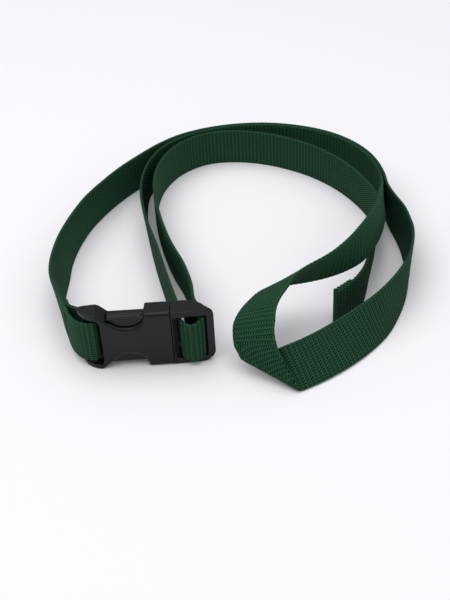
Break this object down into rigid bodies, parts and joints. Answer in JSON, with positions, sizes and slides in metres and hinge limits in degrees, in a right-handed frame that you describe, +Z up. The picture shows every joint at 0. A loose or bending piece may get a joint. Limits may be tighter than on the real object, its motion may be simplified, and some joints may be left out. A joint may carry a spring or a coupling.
{
  "type": "luggage strap",
  "caption": "Ribbed webbing luggage strap with a side-release buckle, standing on edge in loose loops with one fold at the front.",
  "frame": {"origin": "on the floor plane, under the seam between socket and plug, on the buckle's centre plane", "axes": "+X runs along the buckle from socket to plug, +Y goes back into the webbing loops, +Z is up across the webbing"},
  "size_m": [0.2143, 0.2555, 0.0513],
  "materials": {
    "buckle_plastic": "moulded acetal, fine matt texture",
    "webbing": "ribbed woven polyester, bottle green",
    "thread": "bonded sewing thread"
  },
  "bodies": {
    "strap": {"plug_frame": "buckle_plastic", "webbing_outer_arc": "webbing", "webbing_front_run": "webbing", "webbing_fold": "webbing", "webbing_upper_run": "webbing", "webbing_middle_arc": "webbing", "webbing_bar_wrap": "webbing", "webbing_tail": "webbing", "webbing_hem": "webbing", "hem_stitching": "thread"},
    "socket": {"socket_shell": "buckle_plastic", "webbing_anchor_loop": "webbing", "anchor_stitching": "thread"},
    "arm_upper": {"release_arm_upper": "buckle_plastic"},
    "arm_lower": {"release_arm_lower": "buckle_plastic"}
  },
  "joints": [
    {"name": "buckle_release", "type": "slide", "parent": "strap", "child": "socket", "axis": [-1, 0, 0], "range_m": [0, 0.045], "deforming": ["release_arm_upper", "release_arm_lower", "webbing_outer_arc"]},
    {"name": "upper_arm_press", "type": "hinge", "parent": "strap", "child": "arm_upper", "pos_m": [0.0007, 0, 0.0268], "axis": [0, -1, 0], "range_deg": [0, 7], "stiffness_Nm_per_rad": 2},
    {"name": "lower_arm_press", "type": "hinge", "parent": "strap", "child": "arm_lower", "pos_m": [0.0007, 0, 0.0082], "axis": [0, 1, 0], "range_deg": [0, 7], "stiffness_Nm_per_rad": 2}
  ]
}
